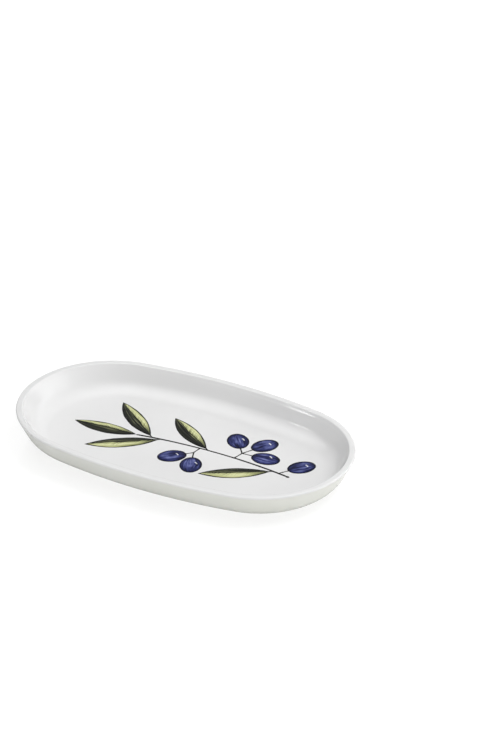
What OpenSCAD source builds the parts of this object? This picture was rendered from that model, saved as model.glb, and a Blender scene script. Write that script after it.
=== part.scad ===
// Oval olive dish: a fired ceramic body on a bare foot ring, coated with glaze inside, outside and
// underneath, with an olive sprig of thin enamel lying on the glazed floor.
// Millimetres. +Z is up, +X runs along the dish. The origin is on the table, under the dish's middle.

/* [Dish] */
// Overall length, lip to lip
dish_l = 240; // [220:2:260]
// Overall width, lip to lip
dish_w = 138; // [132:2:148]
// Overall height, table to lip
dish_h = 23.5; // [21:0.5:30]
// How much smaller the end radius is than half the width (less makes the long sides straighter)
end_less = 5; // [4:1:8]

/* [Wall] */
// Thickness of wall, lip and floor, glaze included
wall_t = 4.5; // [3.5:0.1:6]
// Radius of the lip's two edges; between them the lip is flat
lip_edge = 1.1; // [0.8:0.1:1.6]
// How far the wall leans out from upright, in degrees
wall_lean = 27; // [24:1:34]
// Inside radius where the wall turns into the floor
cove_r = 14.5; // [11:0.5:16]

/* [Foot ring] */
// Height of the bare ring that the dish stands on
foot_h = 1.5; // [1:0.1:2.5]
// Width of the ring where it leaves the underside
foot_w = 4; // [3:0.1:5]
// How much each side of the ring draws in on its way down
foot_taper = 0.5; // [0.2:0.1:0.8]
// Distance from the end of the bottom curve to the ring
foot_in = 2; // [1:0.1:4]

/* [Glaze] */
// Thickness of the fired glaze on every face that has it
glaze_t = 0.4; // [0.3:0.05:0.6]

/* [Sprig] */
// Thickness of the painted enamel
paint_t = 0.2; // [0.15:0.05:0.4]
// Middle of the twig along the dish
sprig_x = 20; // [16:1:22]
// Middle of the twig across the dish
sprig_y = 2; // [-1:1:4]
// Length of the twig, end to end
twig_l = 116; // [112:1:120]
// Width of the twig
twig_w = 1.3; // [1:0.1:1.6]
// How far the middle of the twig bows away from a straight line
twig_rise = 5; // [3:0.5:7]
// Diameter of the knob on the cut end of the twig
knob_d = 2.6; // [2:0.1:3.2]
// Width of the stalks that carry olives and leaves
stalk_w = 0.9; // [0.6:0.1:1.1]
// Diameter of the swelling where olive stalks fork
fork_d = 1.2; // [1:0.1:1.6]

/* [Leaves] */
// Length of the longest leaf
leaf_l = 50; // [46:1:51]
// Width of a leaf on the side of its midrib that bulges more
leaf_bulge = 7.6; // [6.5:0.1:8]
// Width of a leaf on the flatter side of its midrib
leaf_flat = 5.8; // [5:0.1:6.4]

/* [Olives] */
// Length of an olive along its stalk
olive_l = 20; // [17:0.5:20.5]
// Width of an olive across its stalk
olive_w = 15; // [12:0.5:15.5]

/* [Hidden] */
$fa = 2;
$fs = 0.4;

// Plan of the dish: four arcs that meet in tangents, two round the ends and two along the sides
half_l = dish_l / 2;
half_w = dish_w / 2;
end_r = half_w - end_less;
end_x = half_l - end_r;
side_r = (end_x * end_x + half_w * half_w - end_r * end_r) / (2 * end_less);
side_y = side_r - half_w;

// Wall section, with x = 0 at the outermost point of the lip
// Centres of the lip's outer and inner edge
lip_out_at = [-lip_edge, dish_h - lip_edge];
lip_in_at = lip_out_at - [(wall_t - 2 * lip_edge) / cos(wall_lean), 0];
lip_mid = [(lip_out_at.x + lip_in_at.x) / 2, dish_h - wall_t / 2];
base_z = foot_h;
floor_z = base_z + wall_t;
corner_r = cove_r + wall_t;
corner_z = base_z + corner_r;
wall_out = [cos(wall_lean), -sin(wall_lean)];
edge_to_corner = corner_r - lip_edge;
straight_l = (lip_out_at.y + edge_to_corner * sin(wall_lean) - corner_z) / cos(wall_lean);
corner_x = lip_out_at.x - edge_to_corner * cos(wall_lean) - straight_l * sin(wall_lean);
corner_at = [corner_x, corner_z];
// Polygon corners sit this far inside the arcs that they run into, so that each pair crosses once
tuck = 0.0002;
// How far a cutting shape runs past what it cuts, in millimetres and in degrees
past = 5;
past_deg = 3;

// Foot ring, and the flat core that fills the swept ring, as distances in from the lip
foot_out = foot_in - corner_x;
foot_inner = foot_out + foot_w;
core_lap = 3;
core_in = foot_inner + core_lap;
ring_w = core_in + core_lap;

// Sprig: it shrinks with the floor when its full size no longer has room there
sprig_room = [1.67 * twig_l, 1.84 * leaf_l];
floor_size = [dish_l + 2 * corner_x, dish_w + 2 * corner_x];
sprig_fit = min(1, floor_size.x / sprig_room.x, floor_size.y / sprig_room.y);
twig_r = (twig_l * twig_l / 4 + twig_rise * twig_rise) / (2 * twig_rise);
// Bare glaze between the end of a stalk and its leaf or olive
tip_gap = 0.2;
// End radius of an olive as a share of its width
olive_tip = 0.4;

// Length of the stalk that carries each leaf, from the middle of the twig
leaf_stalk = 2.2;
// Leaves: place along the twig from its middle, direction and length, all against the longest leaf
LEAVES = [
  [0.04 - twig_l / 2 / leaf_l, 184, 0.92],
  [-0.94, 142, 0.98],
  [-0.8, 216, 1],
  [-0.12, 146, 0.92],
  [0.9, 212, 0.96],
];

// Stems: place along the twig against the longest leaf, direction, length against an olive
STEMS = [[-0.24, 262, 0.35], [0.28, 78, 0.4], [0.98, 55, 0.1]];
// Olives: stem that carries each, direction, length of its stalk against its own
OLIVES = [
  [0, 226, 0.25],
  [0, 292, 0.3],
  [1, 128, 0.3],
  [1, 62, 0.4],
  [1, 4, 0.35],
  [2, 55, 0.25],
];

function along(deg) = [cos(deg), sin(deg)];
function twig_at(x) = [x, sqrt(twig_r * twig_r - x * x) - twig_r + twig_rise];
function leaf_at(k) = twig_at(LEAVES[k][0] * leaf_l);
function stem_at(k) = twig_at(STEMS[k][0] * leaf_l);
function leaf_base(k) = leaf_at(k) + leaf_stalk * along(LEAVES[k][1]);
function stem_end(k) = stem_at(k) + STEMS[k][2] * olive_l * along(STEMS[k][1]);
function stalk_end(k) = stem_end(OLIVES[k][0]) + OLIVES[k][2] * olive_l * along(OLIVES[k][1]);

// Region inside the outer face of the wall and floor, taken `depth` under that face, with or
// without the foot ring
module outer_side(depth, foot) {
  r = corner_r - depth;
  under = base_z + depth;
  ring = [
    [-foot_inner, under],
    [-foot_inner, base_z],
    [-foot_inner + foot_taper, 0],
    [-foot_out - foot_taper, 0],
    [-foot_out, base_z],
    [-foot_out, under],
  ];
  polygon([
    [-ring_w, under],
    each foot ? ring : [],
    [corner_x, under],
    corner_at + (r - tuck) * wall_out,
    lip_out_at + (lip_edge - depth - tuck) * wall_out,
    [lip_out_at.x, dish_h - depth - tuck],
    [-ring_w, dish_h - depth - tuck],
  ]);
  intersection() {
    translate(corner_at) circle(r);
    polygon([
      corner_at,
      [corner_x, base_z - past],
      [corner_x + 2 * corner_r, base_z - past],
      corner_at + 2 * corner_r * along(past_deg - wall_lean),
    ]);
  }
}

// Hollow of the dish, taken `depth` under its inside face
module hollow(depth) {
  r = cove_r + depth;
  polygon([
    [-ring_w - past, floor_z - depth],
    [corner_x, floor_z - depth],
    corner_at + (r - tuck) * wall_out,
    lip_in_at - (lip_edge - depth - tuck) * wall_out,
    [lip_in_at.x, dish_h - depth - tuck],
    [lip_in_at.x, dish_h + past],
    [-ring_w - past, dish_h + past],
  ]);
  translate(corner_at) circle(r);
}

// Section of the wall, lip and floor, taken `depth` under every face
module wall_section(depth, foot = false) {
  difference() {
    outer_side(depth, foot);
    hollow(depth);
  }
  for (edge = [lip_out_at, lip_in_at])
    translate(edge) circle(lip_edge - depth);
}

// Half of the section plane outside a line down the middle of the wall, from the lip's crest
module outer_half() {
  mid = (corner_r + cove_r) / 2;
  polygon([
    [lip_mid.x, dish_h + past],
    lip_mid,
    for (k = [0 : 4]) corner_at + mid * along(-wall_lean - k * (90 - wall_lean) / 4),
    [-ring_w - past, corner_z - mid],
    [-ring_w - past, -past],
    [past, -past],
    [past, dish_h + past],
  ]);
}

// Coat of glaze in section, both sides of the wall
module coat_section() {
  difference() {
    wall_section(0);
    wall_section(glaze_t);
  }
}

// Prism between the two planes where the end arc (side = 1 or -1) meets the side arcs
module end_wedge(side) {
  far = half_l + end_x;
  translate([0, 0, -past])
    linear_extrude(height = dish_h + 2 * past)
      polygon([
        [side * end_x, 0],
        [side * 2 * end_x, side_y],
        [side * far, side_y],
        [side * far, -side_y],
        [side * 2 * end_x, -side_y],
      ]);
}

// Moves by whole millimetres, then thousandths, then the rest, so that long decimals stay exact
module slide(by) {
  whole = [for (d = by) floor(d)];
  fine = [for (d = by - whole) floor(1000 * d) / 1000];
  translate(whole)
    translate(fine)
      translate(by - whole - fine)
        children();
}

// Carries a section round the plan of the dish
module round_plan() {
  sweep = 4 * atan2(end_x, side_y);
  side_steps = 360;
  for (side = [1, -1]) {
    intersection() {
      translate([side * end_x, 0, 0])
        rotate_extrude(angle = 180, start = side > 0 ? -90 : 90)
          translate([end_r, 0])
            children();
      end_wedge(side);
    }
    difference() {
      slide([0, -side * side_y, 0])
        rotate_extrude(angle = sweep, start = (side > 0 ? 90 : 270) - sweep / 2, $fn = side_steps)
          slide([side_r, 0])
            children();
      end_wedge(1);
      end_wedge(-1);
    }
  }
}

// Flat oval of four arcs with its long axis along x
module oval(length, width, tip_r) {
  a = length / 2;
  b = width / 2;
  c = a - tip_r;
  flank_r = (c * c + b * b - tip_r * tip_r) / (2 * (b - tip_r));
  meet_x = c * flank_r / (flank_r - tip_r);
  translate([c, 0]) circle(tip_r);
  translate([-c, 0]) circle(tip_r);
  intersection() {
    translate([0, b - flank_r]) circle(flank_r - tuck);
    translate([0, flank_r - b]) circle(flank_r - tuck);
    square([2 * meet_x, 2 * width], center = true);
  }
}

// Flat middle that closes a layer of the floor, from height z up by h
module core(z, h) {
  translate([0, 0, z])
    linear_extrude(height = h)
      oval(dish_l - 2 * core_in, dish_w - 2 * core_in, end_r - core_in);
}

module dish_body() {
  color([0.90, 0.87, 0.80]) {
    round_plan()
      wall_section(glaze_t, true);
    core(base_z + glaze_t, wall_t - 2 * glaze_t);
  }
}

module inside_glaze() {
  color([0.95, 0.95, 0.95]) {
    round_plan()
      difference() {
        coat_section();
        outer_half();
      }
    core(floor_z - glaze_t, glaze_t);
  }
}

module outside_glaze() {
  color([0.92, 0.92, 0.90])
    round_plan()
      intersection() {
        coat_section();
        outer_half();
        translate([-foot_out, -past]) square([foot_out + past, dish_h + 2 * past]);
      }
}

module base_glaze() {
  color([0.92, 0.92, 0.90]) {
    round_plan()
      translate([-ring_w, base_z]) square([ring_w - foot_inner, glaze_t]);
    core(base_z, glaze_t);
  }
}

// Lays a flat outline on the glazed floor, in the sprig's own place
module painted() {
  translate([sprig_x * sprig_fit, sprig_y * sprig_fit, floor_z])
    linear_extrude(height = paint_t)
      scale(sprig_fit)
        children();
}

// Straight stroke between two points
module stroke(from, to, width) {
  d = to - from;
  translate(from)
    rotate(atan2(d.y, d.x))
      translate([0, -width / 2])
        square([norm(d), width]);
}

module twig() {
  color([0.13, 0.14, 0.14])
    painted() {
      intersection() {
        translate([0, twig_rise - twig_r])
          difference() {
            circle(twig_r + twig_w / 2);
            circle(twig_r - twig_w / 2);
          }
        translate([-twig_l / 2, -past]) square([twig_l, twig_rise + 2 * past]);
      }
      translate(twig_at(twig_l / 2)) circle(d = knob_d);
      for (k = [1 : len(LEAVES) - 1])
        stroke(leaf_at(k), leaf_base(k) - tip_gap * along(LEAVES[k][1]), stalk_w);
      for (k = [0 : len(STEMS) - 1])
        stroke(stem_at(k), stem_end(k), stalk_w);
      for (k = [0 : len(OLIVES) - 1])
        stroke(stem_end(OLIVES[k][0]), stalk_end(k), stalk_w);
      for (k = [0 : len(STEMS) - 1])
        translate(stem_end(k)) circle(d = fork_d);
    }
}

// Pointed leaf: the overlap of two discs through its base and its tip
module leaf(k) {
  length = leaf_l * LEAVES[k][2];
  up_r = (length * length / 4 + leaf_bulge * leaf_bulge) / (2 * leaf_bulge);
  low_r = (length * length / 4 + leaf_flat * leaf_flat) / (2 * leaf_flat);
  turn = LEAVES[k][1];
  color([0.52, 0.54, 0.32])
    painted()
      translate(leaf_base(k))
        rotate(turn)
          intersection() {
            translate([length / 2, leaf_bulge - up_r]) circle(up_r);
            translate([length / 2, low_r - leaf_flat]) circle(low_r);
          }
}

// Olive at the end of its stalk
module olive(k) {
  turn = OLIVES[k][1];
  color([0.15, 0.18, 0.42])
    painted()
      translate(stalk_end(k) + (tip_gap + olive_l / 2) * along(turn))
        rotate(turn)
          oval(olive_l, olive_w, olive_tip * olive_w);
}

module leaf_1() { leaf(0); }
module leaf_2() { leaf(1); }
module leaf_3() { leaf(2); }
module leaf_4() { leaf(3); }
module leaf_5() { leaf(4); }
module olive_1() { olive(0); }
module olive_2() { olive(1); }
module olive_3() { olive(2); }
module olive_4() { olive(3); }
module olive_5() { olive(4); }
module olive_6() { olive(5); }

dish_body();
inside_glaze();
outside_glaze();
base_glaze();
twig();
leaf_1();
leaf_2();
leaf_3();
leaf_4();
leaf_5();
olive_1();
olive_2();
olive_3();
olive_4();
olive_5();
olive_6();
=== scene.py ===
# %% [markdown]
# # An oval olive dish
#
# The object is a shallow oval dish of fired clay: a pale body that stands on a bare foot ring, a coat
# of white glaze inside, outside and underneath, and an olive sprig painted on the floor in enamel.
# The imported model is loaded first. It is the fixed frame: every mesh made below takes its place from it,
# in metres, so that nothing has to be fitted by eye.

# %% Load the frame
import math

import bmesh
import bpy
from mathutils import Matrix, Vector


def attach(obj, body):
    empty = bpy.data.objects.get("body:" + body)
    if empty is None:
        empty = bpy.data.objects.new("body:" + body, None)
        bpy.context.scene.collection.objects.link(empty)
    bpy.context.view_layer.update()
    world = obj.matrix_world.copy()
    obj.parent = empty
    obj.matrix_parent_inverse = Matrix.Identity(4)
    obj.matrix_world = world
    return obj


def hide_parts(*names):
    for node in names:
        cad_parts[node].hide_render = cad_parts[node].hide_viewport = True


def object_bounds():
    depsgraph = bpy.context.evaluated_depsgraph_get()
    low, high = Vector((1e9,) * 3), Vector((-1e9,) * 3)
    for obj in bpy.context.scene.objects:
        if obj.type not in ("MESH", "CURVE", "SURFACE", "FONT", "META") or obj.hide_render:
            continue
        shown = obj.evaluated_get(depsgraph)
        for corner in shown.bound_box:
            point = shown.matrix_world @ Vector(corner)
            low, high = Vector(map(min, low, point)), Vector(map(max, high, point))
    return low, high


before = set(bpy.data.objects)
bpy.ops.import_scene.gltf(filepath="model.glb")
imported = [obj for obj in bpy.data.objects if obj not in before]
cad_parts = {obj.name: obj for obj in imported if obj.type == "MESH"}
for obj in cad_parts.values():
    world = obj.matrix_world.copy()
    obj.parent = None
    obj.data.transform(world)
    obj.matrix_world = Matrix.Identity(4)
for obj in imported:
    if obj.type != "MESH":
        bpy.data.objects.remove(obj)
cad_low, cad_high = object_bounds()
MM = 0.001
print("dish, mm:", [round(size / MM, 1) for size in cad_high - cad_low])

# %% [markdown]
# ## The plan of the dish
#
# Seen from above, the dish is four arcs that run smoothly into each other: two round the ends, two long
# flat ones along the sides. The frame gives the length, width and height. The end radius is the one
# number that has to be stated, and the long arcs follow from it, because they must touch the end arcs
# without a kink.

# %% Sizes of the plan
HALF_LENGTH = (cad_high.x - cad_low.x) / 2
HALF_WIDTH = (cad_high.y - cad_low.y) / 2
HEIGHT = cad_high.z
END_TIGHTER = 5 * MM
END_RADIUS = HALF_WIDTH - END_TIGHTER


def four_arcs(half_length, half_width, end_radius):
    """Centre and radius of the end arcs, then of the side arcs."""
    end_at = half_length - end_radius
    side_radius = (end_at**2 + half_width**2 - end_radius**2) / (2 * (half_width - end_radius))
    return {
        "End Centre": end_at,
        "End Radius": end_radius,
        "Side Centre": side_radius - half_width,
        "Side Radius": side_radius,
    }


DISH_PLAN = four_arcs(HALF_LENGTH, HALF_WIDTH, END_RADIUS)
print("plan, mm:", {name: round(size / MM, 2) for name, size in DISH_PLAN.items()})

# %% [markdown]
# ## Small helpers for node trees
#
# Shapes and finishes are both node trees, and every tree is built from the same few moves: put a node
# down, give its sockets a value or a link, and take its output further. A few short helpers keep the
# later cells readable.

# %% Helpers
def put(tree, kind, sockets=None, **settings):
    """One node. Settings are its options; sockets maps an input's name or number to a value or link."""
    made = tree.nodes.new(kind)
    for name, value in settings.items():
        setattr(made, name, value)
    for key, value in (sockets or {}).items():
        if isinstance(value, bpy.types.NodeSocket):
            tree.links.new(value, made.inputs[key])
        else:
            made.inputs[key].default_value = value
    return made


def calc(tree, operation, *values):
    """Output of a Math node."""
    return put(tree, "ShaderNodeMath", dict(enumerate(values)), operation=operation).outputs[0]


def times(tree, first, *others):
    """Product of values."""
    for value in others:
        first = calc(tree, "MULTIPLY", first, value)
    return first


def times_plus(tree, value, factor, plus):
    """A value times a factor, and something added."""
    return calc(tree, "MULTIPLY_ADD", value, factor, plus)


def rest_of(tree, share):
    """What a share leaves of 1."""
    return calc(tree, "SUBTRACT", 1.0, share)


def mix(tree, share, first, second):
    """First value at share 0, second at share 1."""
    return put(tree, "ShaderNodeMix", {0: share, 2: first, 3: second}).outputs[0]


def blend_range(tree, value, low, high, to_low=0.0, to_high=1.0, smooth=True):
    """Output that goes from to_low to to_high while value goes from low to high."""
    sockets = {"Value": value, "From Min": low, "From Max": high, "To Min": to_low, "To Max": to_high}
    ease = "SMOOTHSTEP" if smooth else "LINEAR"
    return put(tree, "ShaderNodeMapRange", sockets, interpolation_type=ease).outputs["Result"]


def xyz(tree, x=0.0, y=0.0, z=0.0):
    """Output of three numbers joined to a vector."""
    return put(tree, "ShaderNodeCombineXYZ", {0: x, 1: y, 2: z}).outputs[0]


def parts(tree, vector):
    """The three numbers of a vector."""
    return put(tree, "ShaderNodeSeparateXYZ", {0: vector}).outputs


def noise(tree, place, scale, detail, rough=0.5):
    """A cloudy pattern with about that many lumps to a unit of place."""
    sockets = {"Vector": place, "Scale": scale, "Detail": detail, "Roughness": rough}
    return put(tree, "ShaderNodeTexNoise", sockets).outputs[0]


def new_tree(name, kind, inputs, outputs):
    """An empty node group with named sockets: the tree, its inputs and its outputs."""
    tree = bpy.data.node_groups.new(name, kind)
    for label, socket in inputs.items():
        tree.interface.new_socket(label, in_out="INPUT", socket_type="NodeSocket" + socket)
    for label, socket in outputs.items():
        tree.interface.new_socket(label, in_out="OUTPUT", socket_type="NodeSocket" + socket)
    return tree, tree.nodes.new("NodeGroupInput").outputs, tree.nodes.new("NodeGroupOutput").inputs


print("helpers ready")

# %% [markdown]
# ## The rule of the oval
#
# An outline of arcs has a simple rule: a point lies one radius from its arc's centre, in the direction
# in which the outline faces. A line further in keeps the centres and only has shorter radii. The group
# below puts this on the points of a circle by their number. It hands on the edge point and the outward
# direction as fields, so that a section can be carried round exactly. The olives of the sprig use the
# same rule.

# %% Group: oval outline
ARC_INPUTS = {name: "Float" for name in DISH_PLAN}
END_SHARE = 0.6  # of the points, on the end arcs


def keep(tree, geometry, kind, **fields):
    """Keeps fields on the points of a geometry; gives the geometry, then the fields by name."""
    node = put(tree, "GeometryNodeCaptureAttribute", {0: geometry}, domain="POINT")
    for name, field in fields.items():
        node.capture_items.new(kind, name)
        tree.links.new(field, node.inputs[name])
    return node.outputs


oval, given, result = new_tree(
    "oval_outline",
    "GeometryNodeTree",
    {**ARC_INPUTS, "Around": "Int"},
    {"Curve": "Geometry", "Edge": "Vector", "Outward": "Vector"},
)
circle = put(oval, "GeometryNodeCurvePrimitiveCircle", {"Resolution": given["Around"]}).outputs[0]
number = put(oval, "GeometryNodeInputIndex").outputs[0]
turns = calc(oval, "DIVIDE", times(oval, number, 2.0), given["Around"])
half = calc(oval, "FLOOR", turns)
step = calc(oval, "FRACT", turns)
on_side = calc(oval, "GREATER_THAN", step, END_SHARE)
meeting = calc(oval, "ARCTAN2", given["Side Centre"], given["End Centre"])
side_sweep = calc(oval, "SUBTRACT", math.pi, times(oval, meeting, 2.0))
start = times(oval, meeting, -1.0)
end_angle = blend_range(oval, step, 0.0, END_SHARE, start, meeting, False)
side_angle = blend_range(oval, step, END_SHARE, 1.0, 0.0, side_sweep, False)
facing = calc(oval, "ADD", end_angle, side_angle)
flip = rest_of(oval, times(oval, half, 2.0))
out_x = times(oval, calc(oval, "COSINE", facing), flip)
out_y = times(oval, calc(oval, "SINE", facing), flip)
radius = mix(oval, on_side, given["End Radius"], given["Side Radius"])
below = times(oval, given["Side Centre"], -1.0)
centre_x = times(oval, mix(oval, on_side, given["End Centre"], 0.0), flip)
centre_y = times(oval, mix(oval, on_side, 0.0, below), flip)
edge_x = times_plus(oval, out_x, radius, centre_x)
edge_y = times_plus(oval, out_y, radius, centre_y)
fields = {"Edge": xyz(oval, edge_x, edge_y), "Outward": xyz(oval, out_x, out_y)}
for name, socket in zip(("Curve", "Edge", "Outward"), keep(oval, circle, "VECTOR", **fields)):
    oval.links.new(socket, result[name])
print("oval_outline:", len(oval.nodes), "nodes")

# %% [markdown]
# ## Carrying a section round the plan
#
# A potter pulls a template round the rim; Geometry Nodes can do the same. The section is a line of points
# (distance in from the lip, height). Curve to Mesh makes the faces, and the points are then set by the
# rule, which keeps every layer of the dish exactly parallel to the next. Two flat fills close the floor.

# %% Tree: carried section
FORM_INPUTS = {"Geometry": "Geometry", "Material": "Material", **ARC_INPUTS, "Around": "Int"}
JOIN = 0.001 * MM


def position(tree):
    """The place of each point."""
    return put(tree, "GeometryNodeInputPosition").outputs[0]


def set_points(tree, geometry, how, value):
    """A geometry with its points set to a Position or moved by an Offset."""
    return put(tree, "GeometryNodeSetPosition", {0: geometry, how: value}).outputs[0]


def merge(tree, geometry):
    """A geometry with the points joined that lie in one place."""
    return put(tree, "GeometryNodeMergeByDistance", {0: geometry, "Distance": JOIN}).outputs[0]


def lay_outline(tree, given):
    """The oval by a tree's own inputs: Curve, Edge and Outward."""
    sockets = {name: given[name] for name in (*ARC_INPUTS, "Around")}
    return put(tree, "GeometryNodeGroup", sockets, node_tree=oval).outputs


sweep, given, result = new_tree(
    "carried_section",
    "GeometryNodeTree",
    {**FORM_INPUTS, "Capped": "Bool", "Cap Inset": "Float", "Cap Top": "Float", "Cap Bottom": "Float"},
    {"Geometry": "Geometry"},
)
outline = lay_outline(sweep, given)
profile = put(sweep, "GeometryNodeMeshToCurve", {0: given["Geometry"]}).outputs[0]
profile = keep(sweep, profile, "VECTOR", Section=position(sweep))
wall = put(sweep, "GeometryNodeCurveToMesh", {0: outline["Curve"], 1: profile[0]}).outputs[0]


def inset_point(inset, height):
    """The point of the outline moved in by inset and up to height."""
    sockets = {0: outline["Outward"], "Scale": inset}
    inward = put(sweep, "ShaderNodeVectorMath", sockets, operation="SCALE").outputs[0]
    sockets = {0: outline["Edge"], 1: inward}
    place = parts(sweep, put(sweep, "ShaderNodeVectorMath", sockets, operation="SUBTRACT").outputs[0])
    return xyz(sweep, place[0], place[1], height)


section = parts(sweep, profile["Section"])
wall = set_points(sweep, wall, "Position", inset_point(section[0], section[1]))
closed = put(sweep, "GeometryNodeJoinGeometry", {0: wall})
for height in ("Cap Top", "Cap Bottom"):
    loop = set_points(sweep, outline["Curve"], "Position", inset_point(given["Cap Inset"], 0.0))
    cap = put(sweep, "GeometryNodeFillCurve", {0: loop}, mode="NGONS").outputs[0]
    cap = set_points(sweep, cap, "Offset", xyz(sweep, 0.0, 0.0, given[height]))
    sweep.links.new(cap, closed.inputs[0])
sockets = {0: given["Capped"], 1: wall, 2: closed.outputs[0]}
whole = merge(sweep, put(sweep, "GeometryNodeSwitch", sockets, input_type="GEOMETRY").outputs[0])
print("carried_section so far:", len(sweep.nodes), "nodes")

# %% [markdown]
# Clay moves a little as it dries. A slow noise lets the lip sink and draw in by a tenth of a millimetre
# or so. It only ever pulls inwards and down, so the dish stays inside its box. The tree then ends as
# every tree here does: smooth faces, sharp edges where they turn hard, real geometry and a material.

# %% Waver of the lip
LIP_DIP = 0.14 * MM  # at most
RIM_DRAW = 0.0011  # share of the distance from the middle, at most
WAVES = 14.0  # to a metre
HARD_TURN = 0.7  # radians between two faces


def shade_and_finish(tree, geometry, material, output, sharp):
    """Smooth faces, sharp edges where they turn by more than sharp, real geometry and its material."""
    smooth = put(tree, "GeometryNodeSetShadeSmooth", {0: geometry}, domain="FACE").outputs[0]
    bend = put(tree, "GeometryNodeInputMeshEdgeAngle").outputs[0]
    sockets = {0: smooth, 1: calc(tree, "GREATER_THAN", bend, sharp), 2: False}
    edged = put(tree, "GeometryNodeSetShadeSmooth", sockets, domain="EDGE").outputs[0]
    real = put(tree, "GeometryNodeRealizeInstances", {0: edged}).outputs[0]
    dressed = put(tree, "GeometryNodeSetMaterial", {0: real, "Material": material}).outputs[0]
    tree.links.new(dressed, output)


place = parts(sweep, position(sweep))
waver = noise(sweep, xyz(sweep, place[0], place[1]), WAVES, 1.0)
share = calc(sweep, "POWER", calc(sweep, "DIVIDE", place[2], HEIGHT), 2.0)
pull = times(sweep, waver, share, -1.0)
draw = times(sweep, pull, RIM_DRAW)
draw_x, draw_y = times(sweep, place[0], draw), times(sweep, place[1], draw)
move = xyz(sweep, draw_x, draw_y, times(sweep, pull, LIP_DIP))
whole = set_points(sweep, whole, "Offset", move)
shade_and_finish(sweep, whole, given["Material"], result["Geometry"], HARD_TURN)
print("carried_section:", len(sweep.nodes), "nodes")

# %% [markdown]
# ## From a tree to a plain mesh
#
# A modifier's inputs are set by the identifier of each socket, before anything is evaluated. The result
# is then turned into a plain mesh, its faces are made to point outwards, and the modifier is removed.
# Each piece hides the node of the frame that it stands for.

# %% Make a piece
def make_piece(name, base, tree, values, stands_for):
    """Runs a tree on a base mesh, keeps the plain result and hides the node of the frame that it stands
    for.
    """
    piece = bpy.data.objects.new(name, base)
    bpy.context.scene.collection.objects.link(piece)
    modifier = piece.modifiers.new("shape", "NODES")
    modifier.node_group = tree
    names = {item.name: item.identifier for item in tree.interface.items_tree if item.in_out == "INPUT"}
    for label, value in values.items():
        modifier[names[label]] = value
    graph = bpy.context.evaluated_depsgraph_get()
    mesh = bpy.data.meshes.new_from_object(
        piece.evaluated_get(graph), preserve_all_data_layers=True, depsgraph=graph
    )
    piece.modifiers.clear()
    piece.data = mesh
    shape = bmesh.new()
    shape.from_mesh(mesh)
    bmesh.ops.recalc_face_normals(shape, faces=shape.faces)
    open_edges = sum(not edge.is_manifold for edge in shape.edges)
    triangles = sum(len(face.verts) - 2 for face in shape.faces)
    volume = shape.calc_volume() / MM**3
    shape.to_mesh(mesh)
    shape.free()
    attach(piece, "root")
    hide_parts(stands_for)
    print(f"{name}: {triangles} triangles, {open_edges} open edges, {volume:.0f} mm3")


def line_mesh(name, points, cyclic):
    """A chain of points (x, y) as loose edges."""
    links = [(k, k + 1) for k in range(len(points) - 1)]
    if cyclic:
        links.append((len(points) - 1, 0))
    mesh = bpy.data.meshes.new(name)
    mesh.from_pydata([(x, y, 0.0) for x, y in points], links, [])
    return mesh


print("ready to make pieces")

# %% [markdown]
# ## White glaze
#
# Glaze is glass melted onto the clay. Up close it isn't perfectly even: the surface swells in long soft
# ripples, a fine peel breaks up reflections, its white drifts a little where the coat is thicker, and a
# few pinholes stay from gas in the kiln. Every glazed or enamelled finish here shares this, so it is one
# group, and each material gives it its own strength.

# %% Group: glaze skin
RIPPLES, PEEL, CLOUDS, CELLS = 70.0, 620.0, 16.0, 75.0  # to a metre
EMPTY_CELLS = 0.93  # share of the cells with no pinhole
PINHOLE_CORE, PINHOLE_EDGE, PINHOLE_DEPTH = 0.014, 0.03, 0.5

skin, given, result = new_tree(
    "glaze_skin",
    "ShaderNodeTree",
    {"Place": "Vector", "Ripple": "Float", "Peel": "Float"},
    {"Height": "Float", "Drift": "Float", "Pinhole": "Float"},
)
ripple = noise(skin, given["Place"], RIPPLES, 1.0)
peel = noise(skin, given["Place"], PEEL, 2.0)
cloud = noise(skin, given["Place"], CLOUDS, 3.0)
cells = put(skin, "ShaderNodeTexVoronoi", {"Vector": given["Place"], "Scale": CELLS}).outputs
chance = calc(skin, "GREATER_THAN", parts(skin, cells["Color"])[0], EMPTY_CELLS)
dot = blend_range(skin, cells["Distance"], PINHOLE_CORE, PINHOLE_EDGE, 1.0, 0.0)
pinhole = times(skin, dot, chance)
swell = times(skin, ripple, given["Ripple"])
height = times_plus(skin, peel, given["Peel"], swell)
skin.links.new(times_plus(skin, pinhole, -PINHOLE_DEPTH, height), result["Height"])
skin.links.new(blend_range(skin, cloud, 0.3, 0.7), result["Drift"])
skin.links.new(pinhole, result["Pinhole"])
print("glaze_skin:", len(skin.nodes), "nodes")

# %% [markdown]
# ## Colours
#
# Colours are noted as they look on a screen, from 0 to 255, and turned into light values for the shader.
# A material starts as a Principled shader that reads the object's own coordinates.

# %% Helpers for materials
BUMP_DEPTH = 0.6 * MM


def tint(red, green, blue):
    """A screen colour as light values."""
    shares = [level / 255 for level in (red, green, blue)]
    return (*(s / 12.92 if s <= 10 / 255 else ((s + 0.055) / 1.055) ** 2.4 for s in shares), 1.0)


def new_material(name):
    """A material: its tree, its shader and the object's coordinates."""
    material = bpy.data.materials.new(name)
    material.use_nodes = True
    tree = material.node_tree
    place = put(tree, "ShaderNodeTexCoord").outputs["Object"]
    return material, tree, tree.nodes["Principled BSDF"], place


def mix_colour(tree, share, first, second):
    """First colour at share 0, second at share 1."""
    return put(tree, "ShaderNodeMix", {0: share, 6: first, 7: second}, data_type="RGBA").outputs[2]


def ramp(tree, value, *stops):
    """Colours by value; each stop is (value, colour)."""
    made = put(tree, "ShaderNodeValToRGB", {0: value})
    points = made.color_ramp.elements
    while len(points) < len(stops):
        points.new(1.0)
    for point, (at, colour) in zip(points, stops):
        point.position, point.color = at, colour
    return made.outputs[0]


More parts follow.
